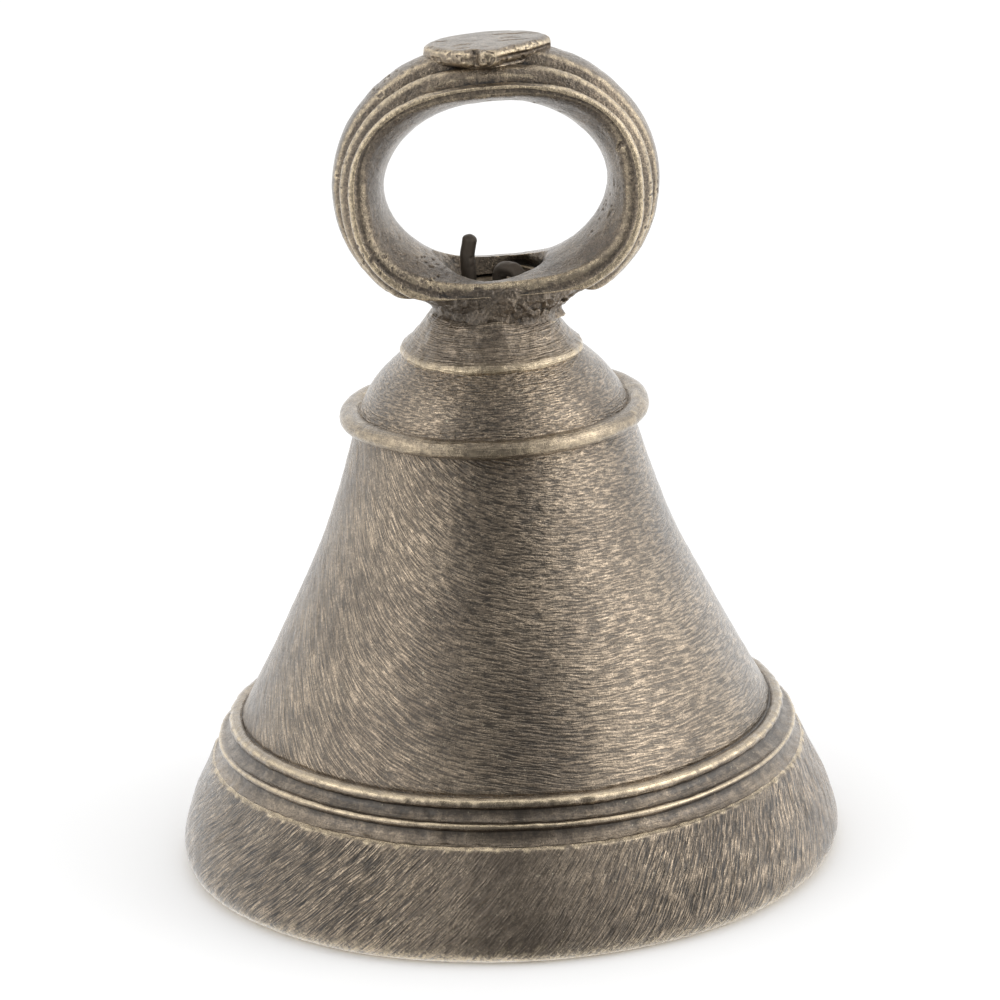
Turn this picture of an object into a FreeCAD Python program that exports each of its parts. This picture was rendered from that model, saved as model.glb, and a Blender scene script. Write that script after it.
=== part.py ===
"""Cast bronze hand bell with a ribbed ring handle, an iron hanger wire and a loose clapper.

Millimetres, +Z up. The origin is the centre of the rim's foot, so the bell stands on
z = 0 with its axis on +Z. The ring handle opens along Y. Each function makes one part.
"""

import FreeCAD, Part
import math
import os

Vector = FreeCAD.Vector
X_AXIS = Vector(1, 0, 0)
Y_AXIS = Vector(0, 1, 0)
Z_AXIS = Vector(0, 0, 1)

# Sound bow: the flared lip that the clapper strikes.
RIM_FOOT_OUTER_R = 32.6
RIM_FOOT_INNER_R = 29.9
RIM_EDGE_R = 33.1
RIM_EDGE_Z = 0.6
LIP_BULGE_R = 33.9
LIP_BULGE_Z = 2.4
LIP_MID_R = 33.1
LIP_MID_Z = 5.5
LIP_TOP_R = 30.4
LIP_TOP_Z = 10.7

# Two turned fillets between the sound bow and the waist.
LOWER_FILLET_R = 29.65
LOWER_FILLET_Z = 12.75
UPPER_FILLET_R = 28.4
UPPER_FILLET_Z = 14.65
FILLET_PROUD = 0.3
LEDGE_Z = 15.0

# Waist and dome, outside.
WAIST_FOOT_R = 26.9
WAIST_FOOT_Z = 15.2
WAIST_LOW_R = 22.5
WAIST_LOW_Z = 24.0
WAIST_HIGH_R = 17.7
WAIST_HIGH_Z = 34.2
WAIST_TOP_R = 14.2
WAIST_TOP_Z = 44.6
SHOULDER_R = 13.85
SHOULDER_Z = 46.4
DOME_POINTS = [(12.5, 49.0), (10.8, 51.1), (8.2, 53.25)]
CROWN_R = 6.0
CROWN_Z = 54.2

# Inside of the bell.
LIP_WALL = 4.4
WAIST_WALL = 3.0
CROWN_WALL = 2.8
CROWN_HOLE_R = 3.4
VAULT_POINTS = [(6.8, 50.5), (9.6, 48.3)]

# Half-round moulding at the shoulder.
BEAD_RING_R = 14.7
BEAD_Z = 46.75
BEAD_TUBE_R = 0.95

# Collar on the crown and the joint between it and the ring.
COLLAR_EDGE_R = 9.1
COLLAR_EDGE_Z = 53.2
COLLAR_LOW_R = 8.1
COLLAR_LOW_Z = 54.6
COLLAR_MID_R = 6.95
COLLAR_MID_Z = 56.2
COLLAR_TOP_R = 6.4
COLLAR_TOP_Z = 57.5
NECK_MID_HALF_X = 7.9
NECK_MID_HALF_Y = 6.2
NECK_MID_Z = 58.6
NECK_TOP_Z = 60.6
NECK_TOP_HALF_X = 10.0
NECK_TOP_HALF_Y = 5.9

# Ring handle. Each loop is (half width along X, half height along Z, centre height).
RING_OFFSET_X = 1.0
RING_LEAN_DEG = -2.4
RING_HALF_DEPTH = 6.35
RING_CENTRE_Z = 69.8
RING_FOOT_Z = 58.0
CENTRE_RIB = (16.35, 14.4, 69.8)
INNER_GROOVE = (15.1, 12.9, 69.65)
INNER_GROOVE_Y = 2.5
SIDE_RIB = (15.4, 13.0, 69.55)
SIDE_RIB_Y = 3.6
OUTER_GROOVE = (14.15, 11.5, 69.4)
OUTER_GROOVE_Y = 4.8
EDGE_RIB = (14.5, 11.4, 69.7)
EDGE_RIB_Y = 5.7
EDGE_ROUND = 0.5
INNER_EDGE = (12.8, 9.35, 70.3)
INNER_CREST = (11.1, 8.45, 69.9)

# Socket in the ring's floor that leads down through the neck.
SOCKET_TOP_Z = 63.2
SOCKET_HALF_X = 5.6
SOCKET_HALF_Y = 4.9
SOCKET_FLOOR_Z = 58.6
SOCKET_CENTRE_X = 0.4

# Lozenge table on top of the ring.
TABLE_X = 1.25
TABLE_HALF_X = 6.3
TABLE_HALF_Y = 5.2
TABLE_TOP_Z = 84.2
TABLE_SEAT_Z = 83.0
TABLE_STEM_Z = 81.2
TABLE_STEM_SCALE = 0.72

# Iron hanger: a hairpin with an eye below the crown and one leg bent over in the socket.
HANGER_WIRE_R = 0.75
PIVOT_Z = 43.6
EYE_HALF_X = 2.6
EYE_SHOULDER_Z = 47.4
LEG_HALF_GAP = 1.05
LEG_JOIN_Z = 50.6
FREE_LEG_LEAN_Z = 57.0
FREE_LEG_STAND_X = -2.05
FREE_LEG_STAND_Z = 60.0
FREE_LEG_TIP_X = -1.75
FREE_LEG_TIP_Z = 64.5
HOOK_RISE_Z = 61.2
HOOK_REACH = 2.75
HOOK_FLAT_SHARE = 0.7
HOOK_TIP_Z = 60.1
HOOK_TURN_DEG = -38.0
HOOK_BEND_R = 0.95
EYE_BEND_R = 1.5
LEG_BEND_R = 2.0

# Iron clapper.
ROD_EYE_INNER_R = 1.6
ROD_EYE_WIRE_R = 0.8
EYE_PLAY = 0.08
ROD_TOP_R = 1.1
ROD_END_R = 1.4
ROD_END_Z = 2.6
PEEN_R = 2.1
PEEN_Z = 2.0
BOB_R = 5.8
BOB_Z = 8.6
BOB_BOTTOM_R = 2.6
BOB_LOW = (4.7, 4.7)
BOB_HIGH = (4.5, 12.4)
BOB_TOP_R = 2.0
BOB_TOP_Z = 17.0


def at(radius, height):
    """A point of a profile that turns about the bell's axis."""
    return Vector(radius, 0, height)


def curve(points):
    """A smooth curve through the points."""
    spline = Part.BSplineCurve()
    spline.interpolate(points)
    return spline.toShape()


def line(start, end):
    return Part.LineSegment(start, end).toShape()


def arc(start, middle, end):
    return Part.Arc(start, middle, end).toShape()


def turned(edges):
    """The solid of revolution of a closed profile about the bell's axis."""
    face = Part.Face(Part.Wire(edges))
    return face.revolve(Vector(), Z_AXIS, 360)


def ellipse(half_x, half_other, centre, normal):
    """A closed elliptical wire with its long axis on X."""
    other = normal.cross(X_AXIS)
    flat = Part.Ellipse(
        centre + X_AXIS * half_x,
        centre + other * half_other,
        centre,
    )
    return Part.Wire(flat.toShape())


def loop(size, depth):
    """One (half width, half height, centre height) loop of the ring, at a depth along Y."""
    half_x, half_z, height = size
    return ellipse(half_x, half_z, Vector(RING_OFFSET_X, depth, height), Y_AXIS)


def shrunk(size, by):
    """A ring loop that lies inside another by a fixed distance."""
    return (size[0] - by, size[1] - by, size[2])


def outer_lip_edges():
    """The outside from the rim's foot to the ledge above the fillets."""
    foot = at(RIM_FOOT_OUTER_R, 0)
    edge = at(RIM_EDGE_R, RIM_EDGE_Z)
    lip_top = at(LIP_TOP_R, LIP_TOP_Z)
    lower_under = at(LOWER_FILLET_R - FILLET_PROUD, LOWER_FILLET_Z - 0.4)
    lower_over = at(LOWER_FILLET_R - FILLET_PROUD, LOWER_FILLET_Z + 0.3)
    upper_under = at(UPPER_FILLET_R - FILLET_PROUD, UPPER_FILLET_Z - 0.4)
    ledge_out = at(UPPER_FILLET_R - FILLET_PROUD, LEDGE_Z)
    ledge_in = at(WAIST_FOOT_R + 0.2, LEDGE_Z - 0.15)
    return [
        arc(foot, at(RIM_EDGE_R - 0.15, 0.17), edge),
        curve([edge, at(LIP_BULGE_R, LIP_BULGE_Z), at(LIP_MID_R, LIP_MID_Z), lip_top]),
        curve([lip_top, at(LIP_TOP_R - 0.72, LIP_TOP_Z + 0.75), lower_under]),
        arc(lower_under, at(LOWER_FILLET_R, LOWER_FILLET_Z), lower_over),
        curve([lower_over, at(UPPER_FILLET_R + 0.12, UPPER_FILLET_Z - 1.1), upper_under]),
        arc(upper_under, at(UPPER_FILLET_R, UPPER_FILLET_Z), ledge_out),
        line(ledge_out, ledge_in),
        line(ledge_in, at(WAIST_FOOT_R, WAIST_FOOT_Z)),
    ]


def outer_waist_edges():
    """The outside from the waist's foot to the flat seat on the crown."""
    shoulder = at(SHOULDER_R, SHOULDER_Z)
    crown = at(CROWN_R, CROWN_Z)
    return [
        curve([
            at(WAIST_FOOT_R, WAIST_FOOT_Z),
            at(WAIST_LOW_R, WAIST_LOW_Z),
            at(WAIST_HIGH_R, WAIST_HIGH_Z),
            at(WAIST_TOP_R, WAIST_TOP_Z),
            shoulder,
        ]),
        curve([shoulder] + [at(*point) for point in DOME_POINTS] + [crown]),
    ]


def inner_edges():
    """The inside from the crown hole down to the rim's foot."""
    hole = at(CROWN_HOLE_R, CROWN_Z - CROWN_WALL)
    vault = at(WAIST_TOP_R - WAIST_WALL, WAIST_TOP_Z)
    return [
        curve([hole] + [at(*point) for point in VAULT_POINTS] + [vault]),
        curve([
            vault,
            at(WAIST_HIGH_R - WAIST_WALL, WAIST_HIGH_Z),
            at(WAIST_LOW_R - WAIST_WALL, WAIST_LOW_Z),
            at(WAIST_FOOT_R - WAIST_WALL - 0.2, WAIST_FOOT_Z),
            at(LIP_MID_R - LIP_WALL, LIP_MID_Z),
            at(RIM_FOOT_INNER_R, 0),
        ]),
    ]


def bell_body():
    """Sound bow, waist and dome: one casting, open below, with a hole in its crown."""
    crown = at(CROWN_R, CROWN_Z)
    hole_top = at(CROWN_HOLE_R, CROWN_Z)
    hole_bottom = at(CROWN_HOLE_R, CROWN_Z - CROWN_WALL)
    foot = line(at(RIM_FOOT_INNER_R, 0), at(RIM_FOOT_OUTER_R, 0))
    seat = [line(crown, hole_top), line(hole_top, hole_bottom)]
    return turned([foot] + outer_lip_edges() + outer_waist_edges() + seat + inner_edges())


def bell_blank():
    """The bell's outside filled solid, to fit the applied pieces to its surface."""
    axis = [line(at(CROWN_R, CROWN_Z), at(0, CROWN_Z)), line(at(0, CROWN_Z), Vector())]
    foot = line(Vector(), at(RIM_FOOT_OUTER_R, 0))
    return turned([foot] + outer_lip_edges() + outer_waist_edges() + axis)


def shoulder_bead():
    """The round moulding that is brazed round the shoulder."""
    torus = Part.makeTorus(BEAD_RING_R, BEAD_TUBE_R, Vector(0, 0, BEAD_Z), Z_AXIS)
    return torus.cut(bell_blank())


def crown_collar():
    """The flared collar that sits on the crown, with its lower edge standing clear."""
    edge_low = at(COLLAR_EDGE_R - 0.35, COLLAR_EDGE_Z - 0.35)
    edge_high = at(COLLAR_EDGE_R - 0.12, COLLAR_EDGE_Z + 0.35)
    top = at(COLLAR_TOP_R, COLLAR_TOP_Z)
    bore_top = at(CROWN_HOLE_R, COLLAR_TOP_Z)
    bore_low = at(CROWN_HOLE_R, edge_low.z)
    blank = turned([
        line(bore_low, edge_low),
        arc(edge_low, at(COLLAR_EDGE_R, COLLAR_EDGE_Z), edge_high),
        curve([edge_high, at(COLLAR_LOW_R, COLLAR_LOW_Z), at(COLLAR_MID_R, COLLAR_MID_Z), top]),
        line(top, bore_top),
        line(bore_top, bore_low),
    ])
    return blank.cut(bell_blank())


def socket():
    """The hollow in the ring's floor and the hole below it, down to the collar."""
    mouth = ellipse(SOCKET_HALF_X, SOCKET_HALF_Y, Vector(SOCKET_CENTRE_X, 0, SOCKET_TOP_Z), Z_AXIS)
    floor = Part.Wire(Part.makeCircle(CROWN_HOLE_R, Vector(0, 0, SOCKET_FLOOR_Z), Z_AXIS))
    funnel = Part.makeLoft([mouth, floor], True, True)
    hole = Part.makeCylinder(CROWN_HOLE_R, SOCKET_FLOOR_Z - CROWN_Z, Vector(0, 0, CROWN_Z))
    return funnel.fuse(hole)


def leaned(shape):
    """A shape of the ring, turned to the ring's slight lean on the neck."""
    shape.rotate(Vector(RING_OFFSET_X, 0, RING_CENTRE_Z), Y_AXIS, RING_LEAN_DEG)
    return shape


def ring_band():
    """The ribbed band: three ribs and two edge ribs outside, one soft crest inside."""
    half_profile = [
        (CENTRE_RIB, 0),
        (INNER_GROOVE, INNER_GROOVE_Y),
        (SIDE_RIB, SIDE_RIB_Y),
        (OUTER_GROOVE, OUTER_GROOVE_Y),
        (EDGE_RIB, EDGE_RIB_Y),
        (shrunk(EDGE_RIB, EDGE_ROUND), RING_HALF_DEPTH),
    ]
    front = [loop(size, -depth) for size, depth in reversed(half_profile)]
    back = [loop(size, depth) for size, depth in half_profile[1:]]
    outside = Part.makeLoft(front + back, True, False)
    inside = Part.makeLoft([
        loop(INNER_EDGE, -RING_HALF_DEPTH),
        loop(INNER_CREST, 0),
        loop(INNER_EDGE, RING_HALF_DEPTH),
    ], True, False)
    return outside.cut(inside)


def ring_handle():
    """The ring, flat at its foot and under the table, and opened by the socket."""
    size = 60
    below = Part.makeBox(size, size, RING_FOOT_Z, Vector(-size / 2, -size / 2, 0))
    above = Part.makeBox(size, size, size, Vector(-size / 2, -size / 2, TABLE_SEAT_Z))
    return leaned(ring_band().cut(below).cut(above)).cut(socket())


def neck_joint(ring):
    """The rough cast-on metal that joins the ring's foot to the collar."""
    low = ellipse(COLLAR_TOP_R, COLLAR_TOP_R - 0.01, Vector(0, 0, COLLAR_TOP_Z), Z_AXIS)
    centre = Vector(RING_OFFSET_X, 0, 0)
    middle = ellipse(NECK_MID_HALF_X, NECK_MID_HALF_Y, centre + Z_AXIS * NECK_MID_Z, Z_AXIS)
    top = ellipse(NECK_TOP_HALF_X, NECK_TOP_HALF_Y, centre + Z_AXIS * NECK_TOP_Z, Z_AXIS)
    blank = Part.makeLoft([low, middle, top], True, False)
    return blank.cut(ring).cut(socket())


def lozenge(scale, height):
    """The table's outline: a square-cornered oval with four rounded points."""
    half_x = TABLE_HALF_X * scale
    half_y = TABLE_HALF_Y * scale
    points = [Vector(half_x, 0, 0), Vector(0, half_y, 0), Vector(-half_x, 0, 0), Vector(0, -half_y, 0)]
    shifted = [point + Vector(TABLE_X, 0, height) for point in points]
    outline = Part.BSplineCurve()
    outline.interpolate(shifted, PeriodicFlag=True)
    return Part.Wire(outline.toShape())


def seal_table(ring):
    """The flat table on top of the ring, with a stem that fills the gap above the side ribs."""
    plate = Part.makeLoft([lozenge(1, TABLE_SEAT_Z), lozenge(1, TABLE_TOP_Z)], True, True)
    stem = Part.makeLoft([
        lozenge(TABLE_STEM_SCALE, TABLE_STEM_Z),
        lozenge(1, TABLE_SEAT_Z),
    ], True, True)
    return leaned(plate.fuse(stem).removeSplitter()).cut(ring)


def rounded_wire(points, radii):
    """Straight runs through the points, joined by tangent arcs of the given radii."""
    edges = []
    here = points[0]
    for before, corner, after, radius in zip(points, points[1:], points[2:], radii):
        into = (corner - before).normalize()
        out = (after - corner).normalize()
        turn = into.getAngle(out)
        setback = radius * math.tan(turn / 2)
        start = corner - into * setback
        end = corner + out * setback
        inward = (out - into).normalize()
        centre = corner + inward * (radius / math.cos(turn / 2))
        edges.append(line(here, start))
        edges.append(arc(start, centre - inward * radius, end))
        here = end
    edges.append(line(here, points[-1]))
    return Part.Wire(edges)


def wire_solid(points, radii, wire_radius):
    """A round wire bent along the points."""
    path = rounded_wire(points, radii)
    section = Part.Wire(Part.makeCircle(wire_radius, points[0], points[1] - points[0]))
    return path.makePipeShell([section], True, False)


def hanger_wire():
    """The iron hairpin: free leg, eye below the crown, and the leg bent over as a hook."""
    turn = math.radians(HOOK_TURN_DEG)
    reach = Vector(math.cos(turn), math.sin(turn), 0)
    hook_top = Vector(LEG_HALF_GAP, 0, HOOK_RISE_Z)
    points = [
        Vector(FREE_LEG_TIP_X, 0, FREE_LEG_TIP_Z),
        Vector(FREE_LEG_STAND_X, 0, FREE_LEG_STAND_Z),
        Vector(-LEG_HALF_GAP, 0, FREE_LEG_LEAN_Z),
        Vector(-LEG_HALF_GAP, 0, LEG_JOIN_Z),
        Vector(-EYE_HALF_X, 0, EYE_SHOULDER_Z),
        Vector(-EYE_HALF_X, 0, PIVOT_Z),
        Vector(EYE_HALF_X, 0, PIVOT_Z),
        Vector(EYE_HALF_X, 0, EYE_SHOULDER_Z),
        Vector(LEG_HALF_GAP, 0, LEG_JOIN_Z),
        hook_top,
        hook_top + reach * (HOOK_REACH * HOOK_FLAT_SHARE),
        hook_top + reach * HOOK_REACH + Z_AXIS * (HOOK_TIP_Z - HOOK_RISE_Z),
    ]
    free_leg = [LEG_BEND_R] * 4
    eye = [EYE_BEND_R] * 2
    hooked_leg = [LEG_BEND_R] * 2 + [HOOK_BEND_R] * 2
    radii = free_leg + eye + hooked_leg
    return wire_solid(points, radii, HANGER_WIRE_R)


def clapper_rod():
    """The iron rod: an eye at the top, a straight taper, and a peened end below the bob."""
    eye_z = PIVOT_Z - (ROD_EYE_INNER_R - HANGER_WIRE_R - EYE_PLAY)
    eye_ring_r = ROD_EYE_INNER_R + ROD_EYE_WIRE_R
    eye = Part.makeTorus(eye_ring_r, ROD_EYE_WIRE_R, Vector(0, 0, eye_z), X_AXIS)
    top_z = eye_z - eye_ring_r
    shaft = Part.makeCone(ROD_END_R, ROD_TOP_R, top_z - ROD_END_Z, Vector(0, 0, ROD_END_Z))
    peen = turned([
        line(at(0, PEEN_Z), at(PEEN_R - 0.5, PEEN_Z)),
        arc(at(PEEN_R - 0.5, PEEN_Z), at(PEEN_R - 0.08, PEEN_Z + 0.28), at(PEEN_R, ROD_END_Z)),
        line(at(PEEN_R, ROD_END_Z), at(0, ROD_END_Z)),
        line(at(0, ROD_END_Z), at(0, PEEN_Z)),
    ])
    return eye.multiFuse([shaft, peen]).removeSplitter()


def clapper_bob(rod):
    """The drop-shaped weight that is fixed on the rod."""
    low = at(BOB_BOTTOM_R, ROD_END_Z)
    high = at(BOB_TOP_R, BOB_TOP_Z)
    blank = turned([
        line(at(0, ROD_END_Z), low),
        curve([low, at(*BOB_LOW), at(BOB_R, BOB_Z), at(*BOB_HIGH), high]),
        line(high, at(0, BOB_TOP_Z)),
        line(at(0, BOB_TOP_Z), at(0, ROD_END_Z)),
    ])
    return blank.cut(rod)


def export(name, shape):
    solids = shape.Solids
    print(name, len(solids), "solids, valid", shape.isValid(), "volume", round(shape.Volume, 1))
    shape.exportStep("parts/" + name + ".step")


def main():
    os.makedirs("parts", exist_ok=True)
    ring = ring_handle()
    rod = clapper_rod()
    export("bell_body", bell_body())
    export("shoulder_bead", shoulder_bead())
    export("crown_collar", crown_collar())
    export("ring_handle", ring)
    export("neck_joint", neck_joint(ring))
    export("seal_table", seal_table(ring))
    export("hanger_wire", hanger_wire())
    export("clapper_rod", rod)
    export("clapper_bob", clapper_bob(rod))


main()
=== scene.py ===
"""Surfaces, materials and studio for the cast bronze hand bell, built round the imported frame.

Shapes are worked out in millimetres on the frame's own axes, and become meshes in metres.
"""

import math

import bpy
import numpy as np
from mathutils import Matrix, Vector


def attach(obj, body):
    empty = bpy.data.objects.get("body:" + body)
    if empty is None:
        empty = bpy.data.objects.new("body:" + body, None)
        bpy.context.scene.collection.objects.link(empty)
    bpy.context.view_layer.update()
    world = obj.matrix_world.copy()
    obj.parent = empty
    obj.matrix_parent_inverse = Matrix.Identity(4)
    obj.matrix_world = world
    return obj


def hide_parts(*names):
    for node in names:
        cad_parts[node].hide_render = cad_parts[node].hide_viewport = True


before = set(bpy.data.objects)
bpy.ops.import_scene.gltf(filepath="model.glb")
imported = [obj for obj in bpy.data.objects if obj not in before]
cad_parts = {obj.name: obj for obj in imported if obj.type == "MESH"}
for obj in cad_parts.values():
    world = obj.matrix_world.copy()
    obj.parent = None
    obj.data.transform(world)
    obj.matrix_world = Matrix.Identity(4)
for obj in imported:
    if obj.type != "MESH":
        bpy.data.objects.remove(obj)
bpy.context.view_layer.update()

MM = 0.001
TURN = 2 * math.pi
FRONT = -math.pi / 2
SEAM = math.pi / 2

# ---------------------------------------------------------------- numbers and noise

LATTICE = np.random.default_rng(11).uniform(-1, 1, (64, 64, 64))


def noise(points, size, seed=0):
    """Smooth values from -1 to 1 at points in mm, with about one swing per size."""
    scaled = points / size + seed * 7.31
    base = np.floor(scaled).astype(int)
    part = scaled - base
    part = part * part * (3 - 2 * part)
    total = np.zeros(len(points))
    for corner in np.ndindex(2, 2, 2):
        weight = np.prod(np.where(corner, part, 1 - part), axis=1)
        i, j, k = ((base + corner) & 63).T
        total += weight * LATTICE[i, j, k]
    return total


def rough(points, size, seed=0, octaves=4):
    """Fractal noise: each finer layer has half the size and half the height."""
    return sum(noise(points, size / 2**n, seed + n) / 2**n for n in range(octaves))


def rise(low, high, value):
    """A smooth step from 0 below low to 1 above high."""
    t = np.clip((value - low) / (high - low), 0, 1)
    return t * t * (3 - 2 * t)


def curve_through(points, step, closed=False):
    """A Catmull-Rom curve through rows of numbers, with a point about every step of length."""
    points = np.array(points, float)
    count = len(points)
    spans = count if closed else count - 1
    out = []
    for n in range(spans):
        if closed:
            a, b, c, d = (points[(n + k) % count] for k in (-1, 0, 1, 2))
        else:
            b, c = points[n], points[n + 1]
            a = points[n - 1] if n else 2 * b - c
            d = points[n + 2] if n + 2 < count else 2 * c - b
        pieces = max(2, round(np.linalg.norm((c - b)[:2]) / step))
        t = (np.arange(pieces) / pieces)[:, None]
        spline = 2 * b + (c - a) * t + (2 * a - 5 * b + 4 * c - d) * t**2 + (3 * b - a - 3 * c + d) * t**3
        out.append(spline / 2)
    if not closed:
        out.append(points[-1:])
    return np.concatenate(out)


def profile(*parts):
    """Joins curves end to end, each given as (step, [(radius, height), ...])."""
    traced = [curve_through(points, step)[:-1] for step, points in parts]
    return np.concatenate(traced)


# ---------------------------------------------------------------- meshes


def mesh_object(name, vertices, faces, uvs=None):
    """A smooth mesh in metres from vertices in mm, facing outwards, with UVs per face corner in mm."""
    corners = vertices[faces[:, :3]]
    volume = np.einsum("ij,ij->i", corners[:, 0], np.cross(corners[:, 1], corners[:, 2])).sum()
    if volume < 0:
        faces = faces[:, ::-1]
        uvs = uvs[:, ::-1] if uvs is not None else None
    mesh = bpy.data.meshes.new(name)
    mesh.vertices.add(len(vertices))
    mesh.vertices.foreach_set("co", (vertices * MM).ravel())
    mesh.loops.add(faces.size)
    mesh.loops.foreach_set("vertex_index", faces.ravel().astype(np.int32))
    mesh.polygons.add(len(faces))
    sides = faces.shape[1]
    mesh.polygons.foreach_set("loop_start", np.arange(0, faces.size, sides, dtype=np.int32))
    mesh.polygons.foreach_set("use_smooth", np.ones(len(faces), bool))
    if uvs is not None:
        layer = mesh.uv_layers.new(name="tooling")
        layer.data.foreach_set("uv", uvs.reshape(-1, 2).ravel())
    mesh.update()
    mesh.validate()
    piece = bpy.data.objects.new(name, mesh)
    bpy.context.scene.collection.objects.link(piece)
    return piece


def hoop(name, grid, tooling=None):
    """A closed band from a (rows, columns, 3) grid that wraps both ways. UV grids are one larger."""
    rows, columns = grid.shape[:2]
    i, j = np.meshgrid(np.arange(rows), np.arange(columns), indexing="ij")
    down, across = (i + 1) % rows, (j + 1) % columns
    faces = np.stack([i * columns + j, down * columns + j, down * columns + across, i * columns + across], -1)
    uvs = None
    if tooling is not None:
        uvs = np.stack([tooling[i, j], tooling[i + 1, j], tooling[i + 1, j + 1], tooling[i, j + 1]], 2)
        uvs = uvs.reshape(-1, 4, 2)
    return mesh_object(name, grid.reshape(-1, 3), faces.reshape(-1, 4), uvs)


def pod(name, grid):
    """A closed shape from a (rows, columns, 3) grid that wraps in columns, its end rows drawn to a point."""
    rows, columns = grid.shape[:2]
    i, j = np.meshgrid(np.arange(rows - 1), np.arange(columns), indexing="ij")
    across = (j + 1) % columns
    here, below = i * columns, (i + 1) * columns
    wall = np.stack([here + j, below + j, below + across, here + across], -1).reshape(-1, 4)
    vertices = np.concatenate([grid.reshape(-1, 3), grid[0].mean(0)[None], grid[-1].mean(0)[None]])
    first, last = len(vertices) - 2, len(vertices) - 1
    j = np.arange(columns)
    across = (j + 1) % columns
    top = np.stack([np.full(columns, first), j, across], -1)
    base = (rows - 1) * columns
    bottom = np.stack([np.full(columns, last), base + across, base + j], -1)
    triangles = np.concatenate([wall[:, [0, 1, 2]], wall[:, [0, 2, 3]], top, bottom])
    return mesh_object(name, vertices, triangles)


def coordinates(mesh):
    """A mesh's vertices in mm."""
    flat = np.empty(len(mesh.vertices) * 3)
    mesh.vertices.foreach_get("co", flat)
    return flat.reshape(-1, 3) / MM


def vertex_normals(mesh):
    """A mesh's unit normals, one per vertex."""
    flat = np.empty(len(mesh.vertices) * 3)
    mesh.vertex_normals.foreach_get("vector", flat)
    return flat.reshape(-1, 3)


def smoothed(points, edges, rounds):
    """Points drawn towards their neighbours' mean, a number of times."""
    ends = np.concatenate([edges[:, 0], edges[:, 1]])
    others = np.concatenate([edges[:, 1], edges[:, 0]])
    count = np.bincount(ends, minlength=len(points)).clip(1)
    for _ in range(rounds):
        mean = np.stack([np.bincount(ends, points[others, k], len(points)) / count for k in range(3)], -1)
        points = (points + mean) / 2
    return points


def mark_relief(piece, near=12, far=60):
    """Stores how far each point stands out (+) or lies sunk (-), in mm, over a small and a larger reach."""
    mesh = piece.data
    points = coordinates(mesh)
    normals = vertex_normals(mesh)
    edges = np.empty(len(mesh.edges) * 2, dtype=np.int32)
    mesh.edges.foreach_get("vertices", edges)
    edges = edges.reshape(-1, 2)
    soft = smoothed(points, edges, near)
    softer = smoothed(soft, edges, far)
    for name, level in (("edge", soft), ("hollow", softer)):
        height = np.einsum("ij,ij->i", points - level, normals)
        store(piece, name, height)


def store(piece, name, values):
    """Keeps one number per point for the piece's material."""
    layer = piece.data.attributes.new(name, "FLOAT", "POINT")
    layer.data.foreach_set("value", values.ravel().astype(np.float32))


def combined(piece, other, operation):
    """Joins a closed shape to a closed piece, or cuts it out, and removes the shape."""
    modifier = piece.modifiers.new("combine", "BOOLEAN")
    modifier.operation = operation
    modifier.solver = "MANIFOLD"
    modifier.object = other
    evaluated = piece.evaluated_get(bpy.context.evaluated_depsgraph_get())
    mesh = bpy.data.meshes.new_from_object(evaluated)
    piece.modifiers.clear()
    piece.data = mesh
    bpy.data.objects.remove(other)
    mesh.polygons.foreach_set("use_smooth", np.ones(len(mesh.polygons), bool))
    return piece


def turned(section, columns):
    """The grid of a (radius, height) section turned about the bell's axis, and each point's angle."""
    angle = SEAM + np.linspace(0, TURN, columns, endpoint=False)
    radius = section[:, 0][:, None]
    grid = np.stack([radius * np.cos(angle), radius * np.sin(angle), section[:, 1][:, None] + 0 * angle], -1)
    return grid, np.broadcast_to(angle, grid.shape[:2])


def outward(section):
    """Unit normals of a closed (radius, height) section."""
    along = np.roll(section, -1, 0) - np.roll(section, 1, 0)
    across = np.stack([along[:, 1], -along[:, 0]], -1)
    area = (section[:, 0] * (np.roll(section[:, 1], -1) - np.roll(section[:, 1], 1))).sum()
    return np.sign(area) * across / np.linalg.norm(across, axis=1, keepdims=True).clip(1e-9)


def spread(normals, angle):
    """Section normals turned about the bell's axis."""
    radial = normals[:, 0][:, None]
    return np.stack([radial * np.cos(angle), radial * np.sin(angle), normals[:, 1][:, None] + 0 * angle], -1)


def off_front(angle):
    """How far each angle lies from the bell's front, from -pi to pi."""
    return np.array([math.remainder(a - FRONT, TURN) for a in angle])


def gouges(height, angle_step, radius, arc, band, count, seed, length, width, depth, slope):
    """Presses short scraper cuts into a height map whose rows lie along the profile."""
    rng = np.random.default_rng(seed)
    columns = height.shape[1]
    first, last = np.searchsorted(arc, band)
    for _ in range(count):
        row = rng.integers(first, last)
        column = rng.integers(columns)
        lean = slope(SEAM + column * angle_step) + rng.normal(0, 0.12)
        half, wide = rng.uniform(*length) / 2, rng.uniform(*width) / 2
        reach = half + wide
        top, bottom = np.searchsorted(arc, (arc[row] - reach, arc[row] + reach))
        span = int(reach / (radius[row] * angle_step)) + 1
        near = np.arange(max(top, first), min(bottom, last))
        sideways = np.arange(-span, span + 1)
        x = sideways * angle_step * radius[row]
        y = (arc[near] - arc[row])[:, None]
        along = x * math.cos(lean) + y * math.sin(lean)
        off = -x * math.sin(lean) + y * math.cos(lean)
        press = np.exp(-((off / wide) ** 2)) * np.clip(1 - (along / half) ** 2, 0, 1)
        height[near[:, None], (column + sideways) % columns] -= rng.uniform(*depth) * press


# ---------------------------------------------------------------- the bell's casting

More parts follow.
